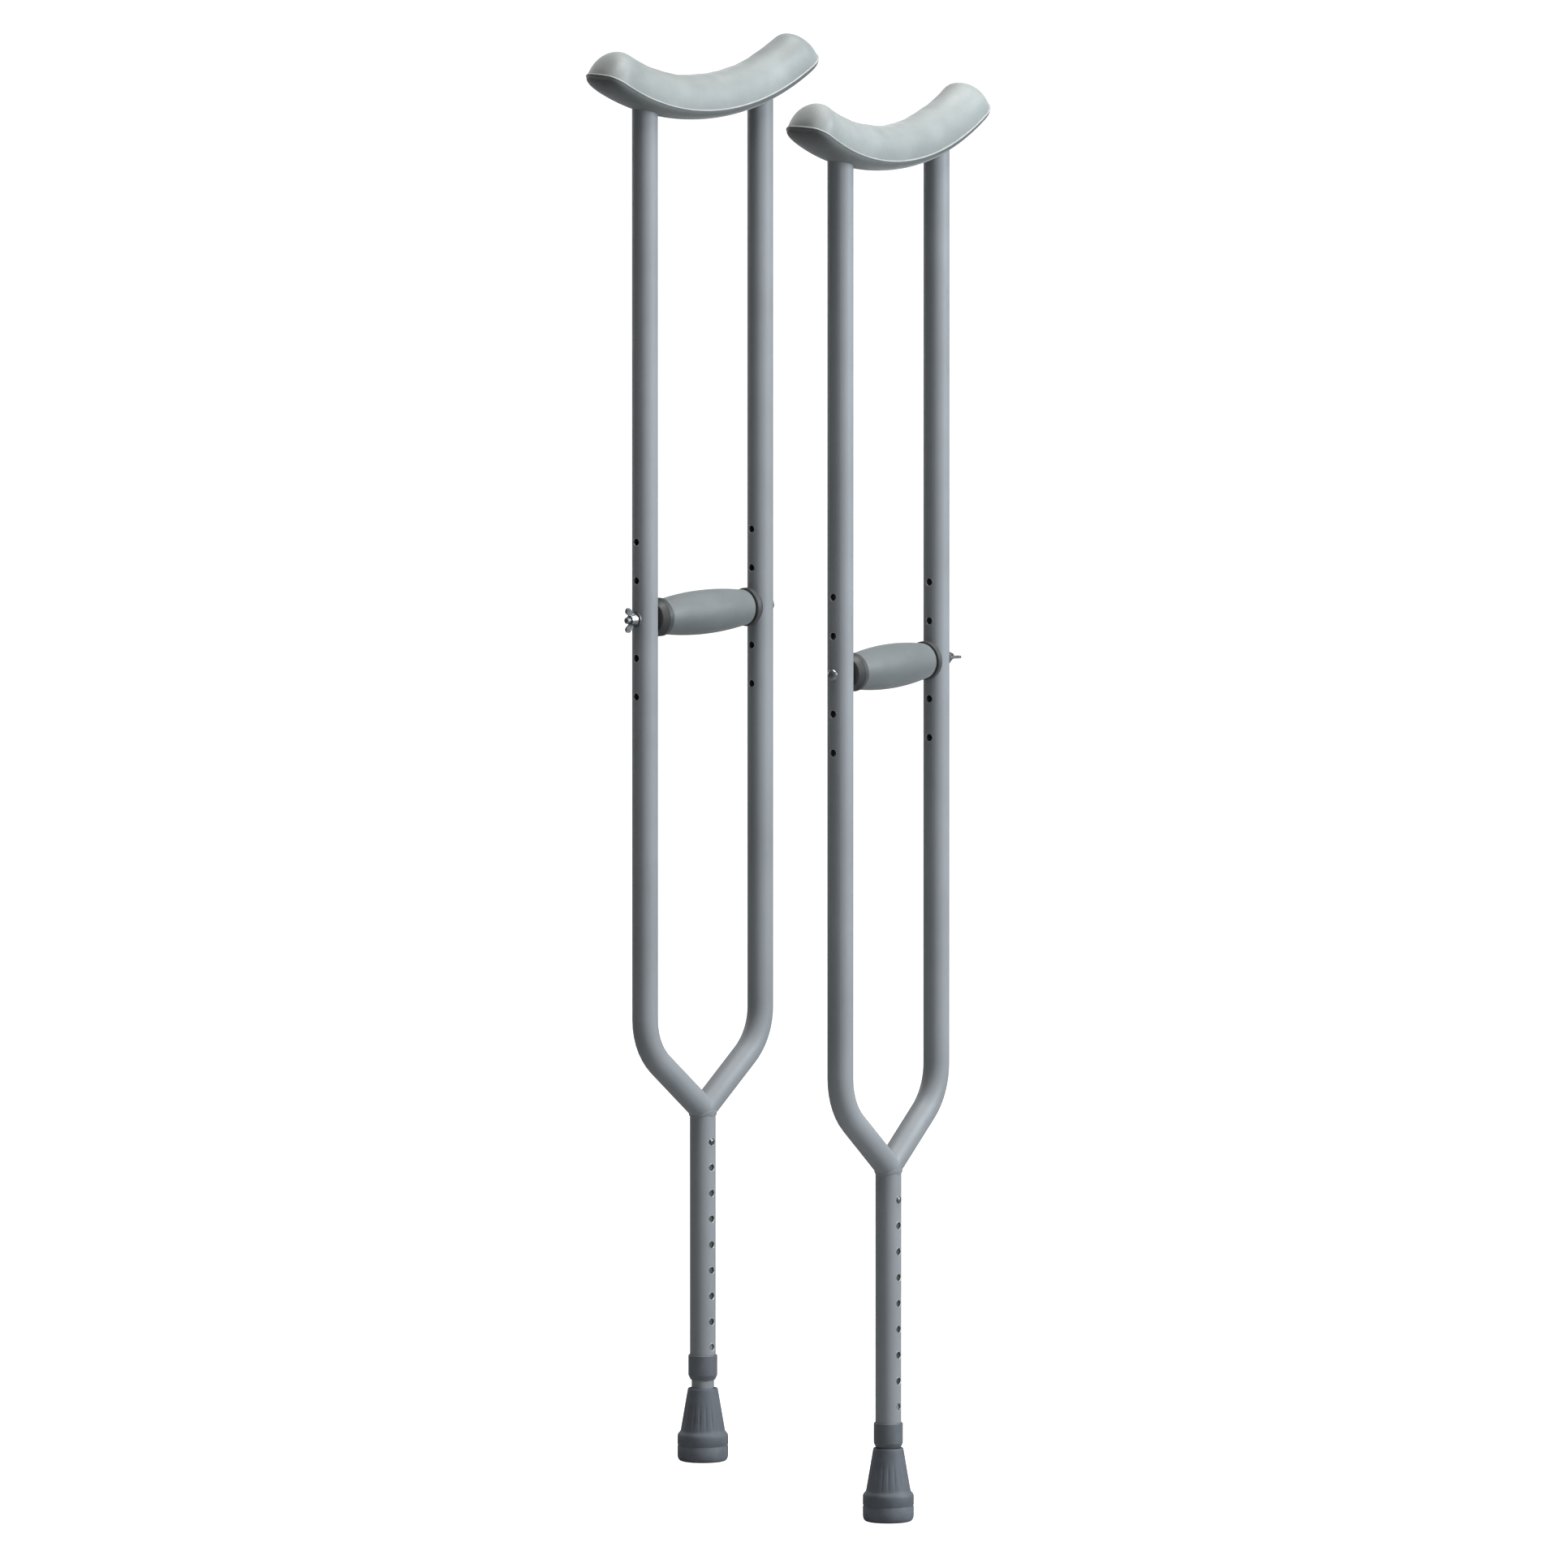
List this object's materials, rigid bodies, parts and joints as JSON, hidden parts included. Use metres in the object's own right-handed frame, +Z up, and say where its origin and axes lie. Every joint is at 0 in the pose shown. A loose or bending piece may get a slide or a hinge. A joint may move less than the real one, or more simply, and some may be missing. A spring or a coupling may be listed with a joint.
{
  "type": "pair of underarm crutches",
  "caption": "Pair of grey steel underarm crutches with curved padded tops, bolted handgrips, push-button telescoping legs and wide rubber feet.",
  "frame": {"origin": "middle of the pair's bounding box, on the floor", "axes": "+Z up; crutch A's two uprights stand along X and its button side faces -Y; crutch B is turned 9 degrees about Z"},
  "size_m": [0.4896, 0.5255, 1.4034],
  "materials": {
    "grey_enamel": "satin grey enamel",
    "nylon": "natural nylon",
    "black_nylon": "glass filled nylon",
    "zinc": "zinc plated",
    "pad_foam": "soft grey moulded foam",
    "collar_plastic": "dark moulded plastic",
    "foot_rubber": "blue grey rubber",
    "spring_steel": "oiled spring steel",
    "grip_rubber": "grey moulded rubber",
    "cap_plastic": "grey moulded plastic"
  },
  "bodies": {
    "frame_a": {"upright_left_a": "grey_enamel", "upright_right_a": "grey_enamel", "leg_tube_a": "grey_enamel", "weld_bead_a": "grey_enamel", "upright_plugs_a": "nylon", "saddle_a": "black_nylon", "saddle_screws_a": "zinc", "underarm_pad_a": "pad_foam"},
    "leg_a": {"inner_leg_a": "grey_enamel", "foot_tip_a": "foot_rubber", "tip_washer_a": "zinc", "snap_spring_a": "spring_steel"},
    "button_a": {"snap_button_a": "spring_steel"},
    "collar_a": {"leg_collar_a": "collar_plastic"},
    "grip_a": {"grip_core_a": "nylon", "grip_sleeve_a": "grip_rubber", "grip_cap_left_a": "cap_plastic", "grip_cap_right_a": "cap_plastic", "grip_bolt_a": "zinc"},
    "washer_a": {"nut_washer_a": "zinc"},
    "nut_a": {"wing_nut_a": "zinc"},
    "frame_b": {"upright_left_b": "grey_enamel", "upright_right_b": "grey_enamel", "leg_tube_b": "grey_enamel", "weld_bead_b": "grey_enamel", "upright_plugs_b": "nylon", "saddle_b": "black_nylon", "saddle_screws_b": "zinc", "underarm_pad_b": "pad_foam"},
    "leg_b": {"inner_leg_b": "grey_enamel", "foot_tip_b": "foot_rubber", "tip_washer_b": "zinc", "snap_spring_b": "spring_steel"},
    "button_b": {"snap_button_b": "spring_steel"},
    "collar_b": {"leg_collar_b": "collar_plastic"},
    "grip_b": {"grip_core_b": "nylon", "grip_sleeve_b": "grip_rubber", "grip_cap_left_b": "cap_plastic", "grip_cap_right_b": "cap_plastic", "grip_bolt_b": "zinc"},
    "washer_b": {"nut_washer_b": "zinc"},
    "nut_b": {"wing_nut_b": "zinc"}
  },
  "joints": [
    {"name": "leg_slide_a", "type": "slide", "parent": "frame_a", "child": "leg_a", "axis": [0, 0, -1], "range_m": [0, 0.2032], "deforming": ["snap_spring_a", "snap_button_a"]},
    {"name": "button_press_a", "type": "slide", "parent": "leg_a", "child": "button_a", "axis": [0, 1, 0], "range_m": [0, 0.0045], "stiffness_N_per_m": 1000},
    {"name": "collar_slide_a", "type": "slide", "parent": "frame_a", "child": "collar_a", "axis": [0, 0, 1], "range_m": [-0.0081, 0]},
    {"name": "grip_height_a", "type": "slide", "parent": "frame_a", "child": "grip_a", "axis": [0, 0, 1], "range_m": [-0.0762, 0.0762], "deforming": ["grip_bolt_a"]},
    {"name": "nut_travel_a", "type": "slide", "parent": "grip_a", "child": "washer_a", "axis": [-1, 0, 0], "range_m": [0, 0.01016]},
    {"name": "nut_spin_a", "type": "hinge", "parent": "washer_a", "child": "nut_a", "pos_m": [0.0028, 0.23697, 0.838], "axis": [-1, 0, 0], "range_deg": [0, 2881]},
    {"name": "leg_slide_b", "type": "slide", "parent": "frame_b", "child": "leg_b", "axis": [0, 0, -1], "range_m": [0, 0.2032], "deforming": ["snap_spring_b", "snap_button_b"]},
    {"name": "button_press_b", "type": "slide", "parent": "leg_b", "child": "button_b", "axis": [-0.1564, 0.9877, 0], "range_m": [0, 0.0045], "stiffness_N_per_m": 1000},
    {"name": "collar_slide_b", "type": "slide", "parent": "frame_b", "child": "collar_b", "axis": [0, 0, 1], "range_m": [0, 0.0081]},
    {"name": "grip_height_b", "type": "slide", "parent": "frame_b", "child": "grip_b", "axis": [0, 0, 1], "range_m": [-0.0762, 0.0762], "deforming": ["grip_bolt_b"]},
    {"name": "nut_travel_b", "type": "slide", "parent": "grip_b", "child": "washer_b", "axis": [0.9877, 0.1564, 0], "range_m": [0, 0.01016]},
    {"name": "nut_spin_b", "type": "hinge", "parent": "washer_b", "child": "nut_b", "pos_m": [-0.00339, -0.20086, 0.838], "axis": [0.9877, 0.1564, 0], "range_deg": [0, 2881]},
    {"name": "second_crutch_apart", "type": "slide", "parent": "frame_a", "child": "frame_b", "axis": [-0.4022, -0.9156, 0], "range_m": [0, 0.3]}
  ],
  "couplings": [
    {"joint": "nut_spin_a", "follows": "nut_travel_a", "rad_per_m": 4947.4},
    {"joint": "nut_spin_b", "follows": "nut_travel_b", "rad_per_m": 4947.4}
  ]
}
